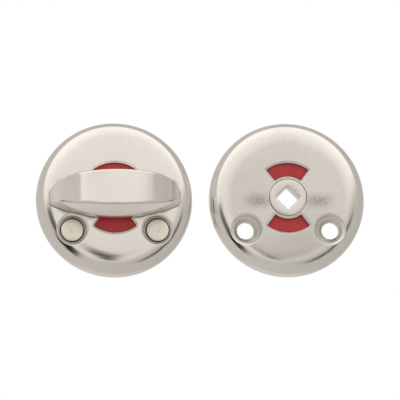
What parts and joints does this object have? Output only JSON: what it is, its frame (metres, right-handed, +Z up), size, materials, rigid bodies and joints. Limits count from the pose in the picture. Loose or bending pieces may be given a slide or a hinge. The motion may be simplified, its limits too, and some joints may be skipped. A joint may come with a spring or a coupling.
{
  "type": "bathroom thumb turn lock",
  "caption": "Round inside and outside halves of a bathroom lock: half-moon thumb turn on a square spindle, indicator windows and a square-socket follower.",
  "frame": {"origin": "on the spindle's axis, in the plane of the inside rose's back rim, which lies on the door", "axes": "+Y along the spindle into the door, both faces towards -Y, +Z up, +X towards the outside half"},
  "size_m": [0.116, 0.071, 0.055],
  "materials": {
    "rose_nickel": "satin nickel plate, finely brushed round the centre",
    "grip_nickel": "satin nickel plate, nearly bright",
    "indicator_enamel": "two red and two white sectors, satin",
    "zinc_steel": "zinc plated",
    "spring_steel": "oiled spring steel",
    "sleeve_nickel": "turned and matt plated, warm in tone"
  },
  "bodies": {
    "roses": {"inside_rose": "rose_nickel", "inside_bearing_plate": "zinc_steel", "sleeve_nut_left": "sleeve_nickel", "sleeve_nut_right": "sleeve_nickel", "outside_rose": "rose_nickel", "outside_bearing_plate": "zinc_steel"},
    "turn": {"thumb_turn": "grip_nickel", "spindle": "zinc_steel", "spindle_pin": "spring_steel", "inside_indicator_disc": "indicator_enamel", "inside_wave_washer": "spring_steel", "inside_retaining_ring": "spring_steel"},
    "hub": {"follower": "grip_nickel", "outside_indicator_disc": "indicator_enamel", "outside_wave_washer": "spring_steel", "outside_retaining_ring": "spring_steel"}
  },
  "joints": [
    {"name": "thumb_turn_pivot", "type": "hinge", "parent": "roses", "child": "turn", "pos_m": [0, 0, 0], "axis": [0, 1, 0], "range_deg": [0, 90]},
    {"name": "follower_pivot", "type": "hinge", "parent": "roses", "child": "hub", "pos_m": [0.061, 0, 0], "axis": [0, 1, 0], "range_deg": [0, 90]}
  ]
}
